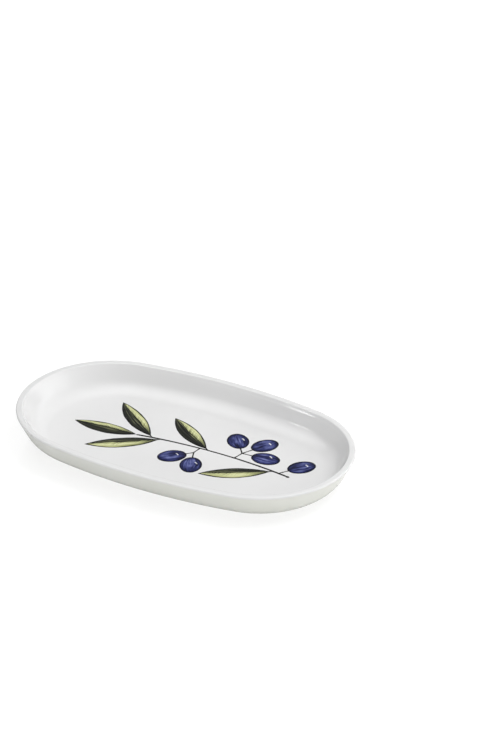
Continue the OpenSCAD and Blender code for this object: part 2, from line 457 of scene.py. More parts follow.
def dress(tree, shader, colour, roughness):
    """Gives a shader its colour and its roughness."""
    tree.links.new(colour, shader.inputs["Base Color"])
    tree.links.new(roughness, shader.inputs["Roughness"])


def emboss(tree, shader, height, strength, depth):
    """Gives a shader the bumps of a height."""
    bump = put(tree, "ShaderNodeBump", {"Height": height, "Strength": strength, "Distance": depth})
    tree.links.new(bump.outputs[0], shader.inputs["Normal"])


def add_skin(tree, shader, place, ripple, peel, strength):
    """Puts the glaze skin on a shader and returns the group's outputs."""
    sockets = {"Place": place, "Ripple": ripple, "Peel": peel}
    marks = put(tree, "ShaderNodeGroup", sockets, node_tree=skin).outputs
    emboss(tree, shader, marks["Height"], strength, BUMP_DEPTH)
    return marks


print("material helpers ready")

# %% [markdown]
# ## Inside, outside and underside
#
# The inside is a clean neutral white. Outside, the glaze turns slightly ivory and a little darker below
# the lip; at the lip both coats have the same white, and no line shows where they meet. The underside is
# ivory too, and a little duller from being wiped before firing.

# %% Materials: glaze
INSIDE_WHITE, INSIDE_DEEP = tint(231, 231, 231), tint(227, 227, 227)
IVORY, IVORY_DEEP = tint(229, 230, 225), tint(224, 225, 218)
PINHOLE_GREY = tint(196, 192, 184)
IVORY_BELOW, WHITE_ABOVE = HEIGHT - 2.5 * MM, HEIGHT - 0.6 * MM
DULLER = 0.05  # roughness added where the coat is deep


def glaze(name, white, deep, roughness, lip_white=False):
    """A glaze that drifts between two whites."""
    material, tree, shader, place = new_material(name)
    marks = add_skin(tree, shader, place, ripple=1.0, peel=0.05, strength=0.25)
    colour = mix_colour(tree, marks["Drift"], white, deep)
    if lip_white:
        to_lip = blend_range(tree, parts(tree, place)[2], IVORY_BELOW, WHITE_ABOVE)
        inside = mix_colour(tree, marks["Drift"], INSIDE_WHITE, INSIDE_DEEP)
        colour = mix_colour(tree, to_lip, colour, inside)
    colour = mix_colour(tree, marks["Pinhole"], colour, PINHOLE_GREY)
    dull = blend_range(tree, marks["Drift"], 0.0, 1.0, roughness, roughness + DULLER)
    dress(tree, shader, colour, dull)
    return material


INSIDE = glaze("inside_glaze_white", INSIDE_WHITE, INSIDE_DEEP, 0.07)
OUTSIDE = glaze("outside_glaze_ivory", IVORY, IVORY_DEEP, 0.1, lip_white=True)
UNDERSIDE = glaze("base_glaze_ivory", IVORY, IVORY_DEEP, 0.2)
print("glazes:", INSIDE.name, OUTSIDE.name, UNDERSIDE.name)

# %% [markdown]
# ## Bare clay
#
# The foot ring is wiped clean before firing, or it would stick to the kiln shelf. Bare fired clay is
# matt and sandy: fine grain in bump and colour, and scattered darker grog.

# %% Material: fired body
PALE_CLAY, DEEP_CLAY = tint(224, 213, 194), tint(205, 189, 164)
GRAIN_BROWN, GROG_BROWN = tint(178, 160, 134), tint(128, 104, 80)
GRAINS, PATCHES, GROGS = 1900.0, 120.0, 900.0  # to a metre
GRAIN_DEPTH = 0.15 * MM

CLAY, tree, shader, place = new_material("fired_body_clay")
grain = noise(tree, place, GRAINS, 4.0)
patch = noise(tree, place, PATCHES, 3.0)
grog = put(tree, "ShaderNodeTexVoronoi", {"Vector": place, "Scale": GROGS}).outputs["Distance"]
colour = mix_colour(tree, blend_range(tree, patch, 0.3, 0.7), PALE_CLAY, DEEP_CLAY)
colour = mix_colour(tree, blend_range(tree, grain, 0.35, 0.75, 0.0, 0.35), colour, GRAIN_BROWN)
colour = mix_colour(tree, blend_range(tree, grog, 0.1, 0.18, 0.5, 0.0), colour, GROG_BROWN)
dress(tree, shader, colour, blend_range(tree, grain, 0.2, 0.8, 0.78, 0.95))
emboss(tree, shader, grain, 0.5, GRAIN_DEPTH)
print("clay:", CLAY.name)

# %% [markdown]
# ## The sections of body and glaze
#
# In section the wall is a flat lip with two rounded edges, a straight part that leans out, and a bottom
# curve that runs into the flat floor. Glaze that creeps back from the lip in the kiln leaves a fine bead
# just below its inner edge. Each layer follows the same forms at its own depth. Angles are measured from
# the outward direction, so 90 is straight up and -90 the lowest point of the curve.

# %% Section lines
WALL = 4.5 * MM
LEAN_DEGREES = 27
LEAN = math.radians(LEAN_DEGREES)
LIP_EDGE = 1.1 * MM
BEAD_BELOW, BEAD_LONG, BEAD_OUT, BEAD_STEPS = 0.8 * MM, 1.6 * MM, 0.09 * MM, 12
COVE = 14.5 * MM
GLAZE = 0.4 * MM
BASE = 1.5 * MM
FOOT_WIDTH, FOOT_TAPER, FOOT_IN, FOOT_ROUND = 4 * MM, 0.5 * MM, 2 * MM, 0.45 * MM
FILL_IN = 6 * MM  # from the foot ring to the flat fills
CORNER = COVE + WALL
FLOOR = BASE + WALL
clay_floor, clay_low = FLOOR - GLAZE, BASE + GLAZE
lip_height = HEIGHT - LIP_EDGE
lip_in = LIP_EDGE + (WALL - 2 * LIP_EDGE) / math.cos(LEAN)
lip_middle = (LIP_EDGE + lip_in) / 2
edge_in = lip_in - BEAD_OUT / math.cos(LEAN)
wall_in = lip_in + LIP_EDGE * math.cos(LEAN)
wall_height = lip_height + LIP_EDGE * math.sin(LEAN)
corner_height = BASE + CORNER
edge_to_corner = CORNER - LIP_EDGE
rise = (lip_height + edge_to_corner * math.sin(LEAN) - corner_height) / math.cos(LEAN)
corner_in = LIP_EDGE + edge_to_corner * math.cos(LEAN) + rise * math.sin(LEAN)
foot_out = corner_in + FOOT_IN
foot_inner = foot_out + FOOT_WIDTH
core_in = foot_inner + FILL_IN


def arc(inset, height, radius, start, end, steps):
    """Points of an arc from one angle to another, in degrees."""
    angles = [math.radians(start + (end - start) * k / steps) for k in range(steps + 1)]
    return [(inset - radius * math.cos(a), height + radius * math.sin(a)) for a in angles]


def outer_line(depth, fine=True):
    """Middle of the lip, down the outside, to the end of the bottom curve."""
    lip = arc(LIP_EDGE, lip_height, LIP_EDGE - depth, 90, -LEAN_DEGREES, 30 if fine else 10)
    low = arc(corner_in, corner_height, CORNER - depth, -LEAN_DEGREES, -90, 30 if fine else 14)
    return [(lip_middle, HEIGHT - depth)] + lip + low


def inner_line(depth, fine=True):
    """Middle of the lip, over the bead and down the inside, to the edge of the flat floor."""
    lip = arc(edge_in, lip_height, LIP_EDGE - depth, 90, 180 - LEAN_DEGREES, 24 if fine else 8)
    for k in range(BEAD_STEPS + 1):
        share = k / BEAD_STEPS
        down = BEAD_BELOW + BEAD_LONG * share
        out = BEAD_OUT * (share * share * (3 - 2 * share) - 1) - depth
        inset = wall_in + down * math.sin(LEAN) + out * math.cos(LEAN)
        lip.append((inset, wall_height - down * math.cos(LEAN) + out * math.sin(LEAN)))
    low = arc(corner_in, corner_height, COVE + depth, -LEAN_DEGREES, -90, 40 if fine else 14)
    return [(lip_middle, HEIGHT - depth)] + lip + low


def back(points):
    """The same points in the other direction."""
    return points[::-1]


print("lip, wall and corner inset, mm:", [round(x / MM, 2) for x in (lip_in, wall_in, corner_in)])

# %% [markdown]
# The lines are now joined to one section for each layer. The coats end in a rounded edge against the foot
# ring, where glaze draws back from the wiped clay, and the ring's own edges are softened.

# %% Sections
EDGE_STEPS = 6
foot = arc(foot_out + FOOT_TAPER + FOOT_ROUND, FOOT_ROUND, FOOT_ROUND, 0, -90, EDGE_STEPS)
foot += arc(foot_inner - FOOT_TAPER - FOOT_ROUND, FOOT_ROUND, FOOT_ROUND, -90, -180, EDGE_STEPS)
foot = [(foot_out, clay_low), (foot_out, BASE), *foot, (foot_inner, BASE), (foot_inner, clay_low)]
outer_edge = arc(foot_out - GLAZE, clay_low, GLAZE, -90, -180, EDGE_STEPS)
inner_edge = arc(foot_inner + GLAZE, clay_low, GLAZE, 0, -90, EDGE_STEPS)
inner_clay, outer_clay = inner_line(GLAZE), outer_line(GLAZE)
body_line = [(core_in, clay_floor), *back(inner_clay[1:]), *outer_clay, *foot, (core_in, clay_low)]
inside_line = [(core_in, FLOOR), *back(inner_line(0.0)), *inner_line(GLAZE, False), (core_in, clay_floor)]
outside_line = outer_line(0.0) + outer_edge + back(outer_line(GLAZE, False))
base_line = [(core_in, clay_low), *inner_edge, (core_in, BASE)]
print("section points:", len(body_line), len(inside_line), len(outside_line), len(base_line))

# %% [markdown]
# Each section is carried round the plan: the body first, then the three coats on it.

# %% Body and glaze
AROUND = 480


def carry(name, line, material, stands_for, top=None, bottom=None):
    """Carries a section round the dish; an open one is closed by flat fills at top and bottom."""
    values = {**DISH_PLAN, "Material": material, "Around": AROUND, "Capped": top is not None}
    if top is not None:
        values |= {"Cap Inset": core_in, "Cap Top": top, "Cap Bottom": bottom}
    make_piece(name, line_mesh(name, line, top is None), sweep, values, stands_for)


carry("fired_body", body_line, CLAY, "dish_body", clay_floor, clay_low)
carry("inside_coat", inside_line, INSIDE, "inside_glaze", FLOOR, clay_floor)
carry("outside_coat", outside_line, OUTSIDE, "outside_glaze")
carry("base_coat", base_line, UNDERSIDE, "base_glaze", clay_low, BASE)

# %% [markdown]
# ## Laying out the sprig
#
# A bowed twig carries five leaves and three groups of olives. Each leaf has a place along the twig and a
# direction; each olive hangs on a stalk that branches from a stem. The numbers in the lists are
# millimetres and degrees on the floor of the dish.

# %% Sprig layout
SPRIG_AT = Vector((20, 2)) * MM
ENAMEL = 0.2 * MM
TWIG_LENGTH, TWIG_RISE = 116 * MM, 5 * MM
TWIG_BOW = (TWIG_LENGTH**2 / 4 + TWIG_RISE**2) / (2 * TWIG_RISE)
LEAF_LENGTH, LEAF_BULGE, LEAF_FLAT, LEAF_STALK = 50 * MM, 7.6 * MM, 5.8 * MM, 2.2 * MM
OLIVE_LENGTH, OLIVE_WIDTH = 20 * MM, 15 * MM
STALK_GAP = 0.2 * MM
# Leaf: place along the twig, direction, share of the full length.
LEAVES = [(-56, 184, 0.92), (-47, 142, 0.98), (-40, 216, 1.0), (-6, 146, 0.92), (45, 212, 0.96)]
# Stem: place along the twig, direction, length.
STEMS = [(-12, 262, 7), (14, 78, 8), (49, 55, 2)]
# Olive: number of its stem, direction, length of its stalk.
OLIVES = [(0, 226, 5), (0, 292, 6), (1, 128, 6), (1, 62, 8), (1, 4, 7), (2, 55, 5)]


def along(degrees, length):
    """A step of that length in that direction."""
    turn = math.radians(degrees)
    return Vector((math.cos(turn), math.sin(turn))) * length


def twig_at(mm):
    """Point on the bowed twig, by its distance along x from the middle."""
    x = mm * MM
    return SPRIG_AT + Vector((x, math.sqrt(TWIG_BOW**2 - x * x) - TWIG_BOW + TWIG_RISE))


def stem_end(k):
    """Point where the olives of a stem branch off."""
    place, turn, length = STEMS[k]
    return twig_at(place) + along(turn, length * MM)


def stalk_end(k):
    """Point where the stalk of an olive ends."""
    stem, turn, length = OLIVES[k]
    return stem_end(stem) + along(turn, length * MM)


def paint(kind, number, tree, values):
    """A painted leaf or olive by its tree."""
    name = f"painted_{kind}_{number}"
    make_piece(name, bpy.data.meshes.new(name), tree, values, f"{kind}_{number}")


print("leaves:", len(LEAVES), "olives:", len(OLIVES))

# %% [markdown]
# ## Brush marks
#
# Enamel goes on with a loaded brush. Along a stroke it leaves fine streaks where the hairs part, and
# slower pools where the colour runs together. Leaves, olives and twig all show them, so they are one
# group that works in the stroke's own directions: along it and across it.

# %% Group: brush marks
STREAK_RATE, POOL_RATE, POOL_SCALE = 1.6, 2.2, 1.3  # along a stroke

brush, given, result = new_tree(
    "brush_marks",
    "ShaderNodeTree",
    {"Along": "Float", "Across": "Float", "Seed": "Float", "Hairs": "Float"},
    {"Streak": "Float", "Pool": "Float"},
)
across = times(brush, given["Across"], given["Hairs"])
fine = xyz(brush, times(brush, given["Along"], STREAK_RATE), across, given["Seed"])
slow = xyz(brush, times(brush, given["Along"], POOL_RATE), given["Across"], given["Seed"])
streak = noise(brush, fine, 1.0, 3.0, rough=0.65)
pool = noise(brush, slow, POOL_SCALE, 1.0)
brush.links.new(blend_range(brush, streak, 0.32, 0.68), result["Streak"])
brush.links.new(blend_range(brush, pool, 0.3, 0.7), result["Pool"])
print("brush_marks:", len(brush.nodes), "nodes")

# %% [markdown]
# ## The leaves
#
# A leaf is a lens between two arcs that meet at its base and its tip, fuller on one side than on the
# other. The tree bends a grid into that lens, with the small shake of a painter's hand in its edge.

# %% Tree: leaf
GRID_ALONG, GRID_ACROSS = 97, 41
SHAKES, SHAKE_APART, SHAKE_CUT = 5.0, 9.0, 0.12
leaf, given, result = new_tree(
    "leaf_form",
    "GeometryNodeTree",
    {
        "Geometry": "Geometry", "Material": "Material", "Length": "Float", "Bulge": "Float",
        "Flat": "Float", "Thickness": "Float", "Base": "Vector", "Turn": "Float", "Seed": "Float",
        "Dark Side": "Float",
    },
    {"Geometry": "Geometry"},
)
sockets = {"Size X": 1.0, "Size Y": 2.0, "Vertices X": GRID_ALONG, "Vertices Y": GRID_ACROSS}
grid = put(leaf, "GeometryNodeMeshGrid", sockets).outputs[0]
grid = keep(leaf, grid, "VECTOR", Place=position(leaf))
place = parts(leaf, grid["Place"])
down = calc(leaf, "ADD", place[0], 0.5)
side = place[1]
from_middle = times(leaf, place[0], given["Length"])


def lens_side(depth):
    """Half width of the lens at this place, on a side with that greatest depth."""
    quarter = times(leaf, given["Length"], given["Length"], 0.25)
    chord = times_plus(leaf, depth, depth, quarter)
    bow = calc(leaf, "DIVIDE", chord, times(leaf, depth, 2.0))
    inside = calc(leaf, "SUBTRACT", times(leaf, bow, bow), times(leaf, from_middle, from_middle))
    return calc(leaf, "ADD", calc(leaf, "SUBTRACT", calc(leaf, "SQRT", inside), bow), depth)


upper = calc(leaf, "GREATER_THAN", side, 0.0)
half_width = mix(leaf, upper, lens_side(given["Flat"]), lens_side(given["Bulge"]))
lengthwise = times(leaf, down, SHAKES)
hand = xyz(leaf, lengthwise, times(leaf, upper, SHAKE_APART), given["Seed"])
trim = times_plus(leaf, noise(leaf, hand, 1.0, 2.0), -SHAKE_CUT, 1.0)
full = times(leaf, side, half_width)
wide = times(leaf, full, trim)
long = times(leaf, down, given["Length"])
print("leaf_form so far:", len(leaf.nodes), "nodes")

# %% [markdown]
# Enamel stands on the glaze as a low dome whose edge runs out to nothing. An upper and a lower sheet are
# joined at the outline. Three numbers go along as attributes: a seed for the brush marks, the side of the
# midrib that is painted dark, and the distance to the outline.

# %% Dome of the leaf
EDGE_POWER, TIP_POWER = 3.0, 12.0
ENAMEL_TURN = 1.2  # radians between two faces


def store(tree, geometry, name, value, kind="FLOAT", domain="POINT"):
    """Keeps a value on the mesh under a name."""
    sockets = {0: geometry, "Name": name, "Value": value}
    return put(tree, "GeometryNodeStoreNamedAttribute", sockets, data_type=kind, domain=domain).outputs[0]


to_edge = rest_of(leaf, calc(leaf, "POWER", calc(leaf, "ABSOLUTE", side), EDGE_POWER))
from_half = calc(leaf, "ABSOLUTE", times(leaf, place[0], 2.0))
to_tip = rest_of(leaf, calc(leaf, "POWER", from_half, TIP_POWER))
dome = times(leaf, to_edge, to_tip, given["Thickness"])
top = set_points(leaf, grid[0], "Position", xyz(leaf, long, wide, dome))
under = set_points(leaf, grid[0], "Position", xyz(leaf, long, wide))
both = put(leaf, "GeometryNodeJoinGeometry", {0: top})
leaf.links.new(put(leaf, "GeometryNodeFlipFaces", {0: under}).outputs[0], both.inputs[0])
spread = xyz(leaf, down, times_plus(leaf, side, 0.5, 0.5))
drawn = merge(leaf, store(leaf, both.outputs[0], "UVMap", spread, "FLOAT2", "CORNER"))
drawn = store(leaf, drawn, "brush_seed", given["Seed"])
drawn = store(leaf, drawn, "dark_side", given["Dark Side"])
to_outline = calc(leaf, "SUBTRACT", half_width, calc(leaf, "ABSOLUTE", full))
drawn = store(leaf, drawn, "to_outline", to_outline)
sockets = {0: drawn, "Translation": given["Base"], "Rotation": xyz(leaf, 0.0, 0.0, given["Turn"])}
laid = put(leaf, "GeometryNodeTransform", sockets).outputs[0]
shade_and_finish(leaf, laid, given["Material"], result["Geometry"], ENAMEL_TURN)
print("leaf_form:", len(leaf.nodes), "nodes")

# %% [markdown]
# ## Leaf enamel
#
# The painted leaf has a dark half, green-black and streaked, and a light half in yellow-green. Both run
# dark towards the base, a thin midrib parts them, and a dark outline of uneven weight closes the form.
# Enamel mirrors less than the glaze round it. The brush marks come first, and with them the place of the
# midrib, which sways a little.

# %% Brush marks of a leaf
ENAMEL_MIRROR = 0.05
LEAF_HAIRS, RIB_SWAY = 7.0, 0.24


def new_enamel(name):
    """A material with the skin of enamel: the material, its tree, its shader and the coordinates."""
    material, tree, shader, place = new_material(name)
    shader.inputs["Specular IOR Level"].default_value = ENAMEL_MIRROR
    add_skin(tree, shader, place, ripple=0.5, peel=0.05, strength=0.2)
    return material, tree, shader, place


def stroke_place(tree):
    """Along the stroke from 0 to 1, and across it from -1 to 1."""
    spot = parts(tree, put(tree, "ShaderNodeUVMap", uv_map="UVMap").outputs[0])
    return spot[0], times_plus(tree, spot[1], 2.0, -1.0)


def kept(tree, name, output="Fac"):
    """A number kept on the mesh, or with Vector as output a vector."""
    return put(tree, "ShaderNodeAttribute", attribute_name=name).outputs[output]


def add_brush(tree, along_it, across_it, seed, hairs):
    """Streaks and pools of the brush in the stroke's directions."""
    sockets = {"Along": along_it, "Across": across_it, "Seed": seed, "Hairs": hairs}
    marks = put(tree, "ShaderNodeGroup", sockets, node_tree=brush).outputs
    return marks["Streak"], marks["Pool"]


LEAF, tree, shader, place = new_enamel("leaf_enamel_green")
down, side = stroke_place(tree)
seed = kept(tree, "brush_seed")
streak, pool = add_brush(tree, down, side, seed, LEAF_HAIRS)
sway = times_plus(tree, pool, RIB_SWAY, -RIB_SWAY / 2)
rib = calc(tree, "ADD", times(tree, side, kept(tree, "dark_side")), sway)
from_base = blend_range(tree, down, 0.02, 0.42)
print("leaf enamel so far:", len(tree.nodes), "nodes")

# %% [markdown]
# The tone is worked out next, from 0 for the darkest to 1 for the lightest. The light half is brightest
# along its middle and has fine slanting strokes that start at the midrib. The dark half keeps only
# streaks. Midrib and outline are drawn over both.

# %% Tones of a leaf
LIGHT_AT, LIGHT_FALL = 0.48, 0.75
STRAND_SLANT, STRANDS = 0.16, 60.0
LINE_THIN, LINE_MORE = 0.6 * MM, 0.55 * MM

off_light = calc(tree, "ABSOLUTE", calc(tree, "SUBTRACT", rib, LIGHT_AT))
light = rest_of(tree, times(tree, off_light, LIGHT_FALL))
worn, dry = times_plus(tree, from_base, 0.6, 0.4), times_plus(tree, streak, 0.34, 0.74)
slant = times(tree, times_plus(tree, rib, -STRAND_SLANT, down), STRANDS)
strands = noise(tree, xyz(tree, slant, 0.0, seed), 1.0, 1.0)
hatch = blend_range(tree, strands, 0.5, 0.62, 0.0, 0.75)
hatch = times(tree, hatch, blend_range(tree, rib, 0.1, 0.75, 1.0, 0.0))
light_tone = times(tree, light, worn, dry, rest_of(tree, hatch))
worn, inward = times_plus(tree, from_base, 0.46, 0.06), blend_range(tree, rib, -1.0, -0.1, 0.3, 1.0)
dark_tone = times(tree, calc(tree, "POWER", streak, 1.4), worn, inward)
tone = mix(tree, blend_range(tree, rib, -0.06, 0.12), dark_tone, light_tone)
rib_line = blend_range(tree, calc(tree, "ABSOLUTE", rib), 0.035, 0.12, 0.97, 0.0)
weight = times_plus(tree, pool, LINE_MORE, LINE_THIN)
out_line = blend_range(tree, calc(tree, "DIVIDE", kept(tree, "to_outline"), weight), 0.8, 1.35, 1.0, 0.0)
tone = times(tree, tone, rest_of(tree, calc(tree, "MAXIMUM", rib_line, out_line)))
print("leaf enamel with tones:", len(tree.nodes), "nodes")

# %% [markdown]
# One ramp turns the tone into enamel colours, from green-black to pale yellow-green. Every leaf is then
# the same tree with its own length, place, turn, seed and dark side.

# %% Leaves
LEAF_SEED, LEAF_SEED_STEP = 1.3, 3.7
DARK_SIDES = (-1.0, -1.0, 1.0, -1.0, 1.0)
colour = ramp(
    tree,
    tone,
    (0.0, tint(9, 10, 9)),
    (0.2, tint(50, 53, 41)),
    (0.4, tint(114, 117, 84)),
    (0.62, tint(172, 175, 121)),
    (0.82, tint(208, 210, 158)),
    (1.0, tint(224, 226, 178)),
)
dress(tree, shader, colour, blend_range(tree, pool, 0.0, 1.0, 0.14, 0.22))
for k, ((at, turn, length), dark) in enumerate(zip(LEAVES, DARK_SIDES)):
    root = twig_at(at) + along(turn, LEAF_STALK)
    values = {
        "Material": LEAF, "Length": LEAF_LENGTH * length, "Bulge": LEAF_BULGE, "Flat": LEAF_FLAT,
        "Thickness": ENAMEL, "Base": (root.x, root.y, FLOOR), "Turn": math.radians(turn),
        "Seed": LEAF_SEED_STEP * k + LEAF_SEED, "Dark Side": dark,
    }
    paint("leaf", k + 1, leaf, values)

# %% [markdown]
# ## The olives
#
# An olive's outline is the dish's own rule again, four arcs in small. Rings of it shrink to the middle
# under a shallow dome. Besides the map for its brush marks, the mesh keeps where each point lies from the
# olive's middle, unturned, so that every painted glint sits on the same side, as if lit by one window.

# %% Tree: olive
DOME_STEPS, DOME_POWER = 14, 5.0
olive, given, result = new_tree(
    "olive_form",
    "GeometryNodeTree",
    {
        **FORM_INPUTS, "Length": "Float", "Width": "Float", "Thickness": "Float",
        "Middle": "Vector", "Turn": "Float", "Seed": "Float",
    },
    {"Geometry": "Geometry"},
)
outline = lay_outline(olive, given)
spoke = put(olive, "GeometryNodeMeshLine", {"Count": 2 * DOME_STEPS + 1}).outputs[0]
spoke = put(olive, "GeometryNodeMeshToCurve", {0: spoke}).outputs[0]
number = put(olive, "GeometryNodeInputIndex").outputs[0]
spoke = keep(olive, spoke, "FLOAT", Step=calc(olive, "DIVIDE", number, float(DOME_STEPS)))
disc = put(olive, "GeometryNodeCurveToMesh", {0: outline["Curve"], 1: spoke[0]}).outputs[0]
out = calc(olive, "PINGPONG", spoke["Step"], 1.0)
on_top = calc(olive, "LESS_THAN", spoke["Step"], 1.0)
fall = rest_of(olive, calc(olive, "POWER", out, DOME_POWER))
dome = times(olive, fall, on_top, given["Thickness"])
edge = parts(olive, outline["Edge"])
flat_x, flat_y = times(olive, edge[0], out), times(olive, edge[1], out)
disc = set_points(olive, disc, "Position", xyz(olive, flat_x, flat_y, dome))
here = parts(olive, position(olive))
map_x = calc(olive, "ADD", calc(olive, "DIVIDE", here[0], given["Length"]), 0.5)
map_y = calc(olive, "ADD", calc(olive, "DIVIDE", here[1], given["Width"]), 0.5)
inner = times(olive, rest_of(olive, out), times(olive, given["Width"], 0.5))
disc = store(olive, disc, "to_outline", inner)
disc = merge(olive, store(olive, disc, "UVMap", xyz(olive, map_x, map_y), "FLOAT2", "CORNER"))
disc = store(olive, disc, "brush_seed", given["Seed"])
sockets = {0: disc, "Rotation": xyz(olive, 0.0, 0.0, given["Turn"])}
spun = put(olive, "GeometryNodeTransform", sockets).outputs[0]
sockets = {0: position(olive), "Scale": calc(olive, "DIVIDE", 2.0, given["Width"])}
from_middle = put(olive, "ShaderNodeVectorMath", sockets, operation="SCALE").outputs[0]
spun = store(olive, spun, "from_middle", from_middle, "FLOAT_VECTOR")
laid = put(olive, "GeometryNodeTransform", {0: spun, "Translation": given["Middle"]}).outputs[0]
shade_and_finish(olive, laid, given["Material"], result["Geometry"], ENAMEL_TURN)
print("olive_form:", len(olive.nodes), "nodes")

# %% [markdown]
# ## Olive enamel
#
# The olives are deep blue. Strokes follow the roundness of the fruit like meridians on a globe, lighter
# violet-blue where the brush ran dry. The rim is nearly black, and a curved white glint is left open near
# the upper right.

# %% Material: olive enamel
OLIVE_HAIRS, OLIVE_STRETCH = 4.6, 0.45
POLE_OPEN = 1.08  # above 1, so that the meridians never quite meet
GLINT_ANGLE, GLINT_OUT = math.radians(58), 0.56
GLINT_WHITE = tint(238, 240, 246)

OLIVE, tree, shader, place = new_enamel("olive_enamel_blue")
down, side = stroke_place(tree)
lengthwise = times_plus(tree, down, 2.0, -1.0)
roundness = calc(tree, "SQRT", calc(tree, "SUBTRACT", POLE_OPEN, times(tree, lengthwise, lengthwise)))
meridian = calc(tree, "DIVIDE", side, roundness)
stretched = times(tree, lengthwise, OLIVE_STRETCH)
streak, pool = add_brush(tree, stretched, meridian, kept(tree, "brush_seed"), OLIVE_HAIRS)
inner = calc(tree, "DIVIDE", kept(tree, "to_outline"), MM)
tone = times_plus(tree, streak, 0.66, times_plus(tree, pool, 0.4, -0.04))
round_off = blend_range(tree, inner, 0.3, 3.2, 0.3, 1.0)
rim = blend_range(tree, inner, 0.55, 1.0, 1.0, 0.0)
tone = times(tree, tone, round_off, rest_of(tree, rim))
colour = ramp(
    tree,
    tone,
    (0.0, tint(6, 7, 32)),
    (0.22, tint(21, 26, 70)),
    (0.45, tint(46, 52, 104)),
    (0.7, tint(82, 89, 143)),
    (1.0, tint(122, 130, 182)),
)
lit = parts(tree, kept(tree, "from_middle", "Vector"))
lit_out = calc(tree, "SQRT", calc(tree, "ADD", times(tree, lit[0], lit[0]), times(tree, lit[1], lit[1])))
lit_turn = calc(tree, "SUBTRACT", calc(tree, "ARCTAN2", lit[1], lit[0]), GLINT_ANGLE)
off_band = calc(tree, "ABSOLUTE", calc(tree, "SUBTRACT", lit_out, GLINT_OUT))
band = blend_range(tree, off_band, 0.035, 0.075, 1.0, 0.0)
span = blend_range(tree, calc(tree, "ABSOLUTE", lit_turn), 0.26, 0.42, 1.0, 0.0)
bare = blend_range(tree, streak, 0.1, 0.5, 0.55, 1.0)
glint = times(tree, band, span, bare)
colour = mix_colour(tree, glint, colour, GLINT_WHITE)
dress(tree, shader, colour, blend_range(tree, pool, 0.0, 1.0, 0.12, 0.2))
print("olive enamel:", len(tree.nodes), "nodes")

# %% [markdown]
# Six olives, each at the end of its stalk and turned along it.

# %% Olives
OLIVE_AROUND, OLIVE_END = 96, 0.4
OLIVE_SEED, OLIVE_SEED_STEP = 0.6, 2.9
OLIVE_PLAN = four_arcs(OLIVE_LENGTH / 2, OLIVE_WIDTH / 2, OLIVE_END * OLIVE_WIDTH)
for k, (stem, turn, length) in enumerate(OLIVES):
    middle = stalk_end(k) + along(turn, STALK_GAP + OLIVE_LENGTH / 2)
    values = {
        **OLIVE_PLAN, "Material": OLIVE, "Around": OLIVE_AROUND, "Length": OLIVE_LENGTH,
        "Width": OLIVE_WIDTH, "Thickness": ENAMEL, "Middle": (middle.x, middle.y, FLOOR),
        "Turn": math.radians(turn), "Seed": OLIVE_SEED_STEP * k + OLIVE_SEED,
    }
    paint("olive", k + 1, olive, values)

# %% [markdown]
# ## Twig and stalks
#
# Thin lines are single strokes of a fine brush. Each stroke is a chain of points with a half width at
# every point. The tree lays a low rounded line of enamel along it: a round tube, of which only the upper
# half is kept and pressed down.

# %% Tree: brush line
TUBE_SIDES, PRESSED = 16, 0.2
line, given, result = new_tree(
    "brush_line",
    "GeometryNodeTree",
    {"Geometry": "Geometry", "Material": "Material", "Thickness": "Float", "Floor": "Float"},
    {"Geometry": "Geometry"},
)
half = put(line, "GeometryNodeInputNamedAttribute", {"Name": "half_width"}, data_type="FLOAT").outputs[0]
path = put(line, "GeometryNodeMeshToCurve", {0: given["Geometry"]}).outputs[0]
ring = put(line, "GeometryNodeCurvePrimitiveCircle", {"Resolution": TUBE_SIDES, "Radius": 1.0}).outputs[0]
sockets = {0: path, 1: ring, "Scale": half, "Fill Caps": True}
tube = put(line, "GeometryNodeCurveToMesh", sockets).outputs[0]
here = parts(line, position(line))
swell = times(line, calc(line, "MAXIMUM", here[2], 0.0), PRESSED)
swell = calc(line, "MINIMUM", swell, given["Thickness"])
rest = xyz(line, here[0], here[1], calc(line, "ADD", swell, given["Floor"]))
tube = set_points(line, tube, "Position", rest)
shade_and_finish(line, tube, given["Material"], result["Geometry"], ENAMEL_TURN)
print("brush_line:", len(line.nodes), "nodes")

# %% [markdown]
# The enamel of the lines is nearly black, and a little lighter and greener where the brush ran dry. The
# strokes run every way and cross, so their marks follow the floor of the dish and not each stroke.

# %% Material: twig enamel
TWIG_HAIRS, TWIG_MARKS = 6.0, 60.0
TWIG, tree, shader, place = new_enamel("twig_enamel_black")
spot = parts(tree, place)
mark_x, mark_y = (times(tree, spot[k], TWIG_MARKS) for k in range(2))
streak, pool = add_brush(tree, mark_x, mark_y, 0.0, TWIG_HAIRS)
tone = times_plus(tree, streak, 0.5, times(tree, pool, 0.5))
colour = ramp(tree, tone, (0.0, tint(5, 5, 6)), (0.6, tint(14, 14, 13)), (1.0, tint(30, 31, 26)))
dress(tree, shader, colour, blend_range(tree, pool, 0.0, 1.0, 0.15, 0.25))
print("twig enamel:", len(tree.nodes), "nodes")

# %% [markdown]
# A stroke starts round, gets a little heavier under pressure and thins as the brush leaves the surface.
# The twig comes first, with a knob on its cut end. It runs out into the first leaf. Each other leaf, each
# stem and each olive has a short stroke of its own, which ends just under the enamel that it carries.

# %% Twig
TWIG_HALF, STALK_HALF, KNOB_HALF = 0.8 * MM, 0.55 * MM, 1.45 * MM
KNOB_AT, KNOB_LONG, KNOB_START = 0.012, 0.008, 0.006  # shares of the twig
TWIG_STEPS, STALK_STEPS = 160, 24
UNDER_LEAF, UNDER_FORK, UNDER_OLIVE = 1 * MM, 0.3 * MM, 0.8 * MM


def pressure(share):
    """Weight of a stroke along its length: round at the start, thin at the end."""
    start = min(1.0, math.sqrt(share / 0.04 + 0.02))
    end = min(1.0, math.sqrt((1.0 - share) / 0.03 + 0.4))
    return start * end * (0.9 + 0.1 * math.sin(7.3 * share + 0.8))


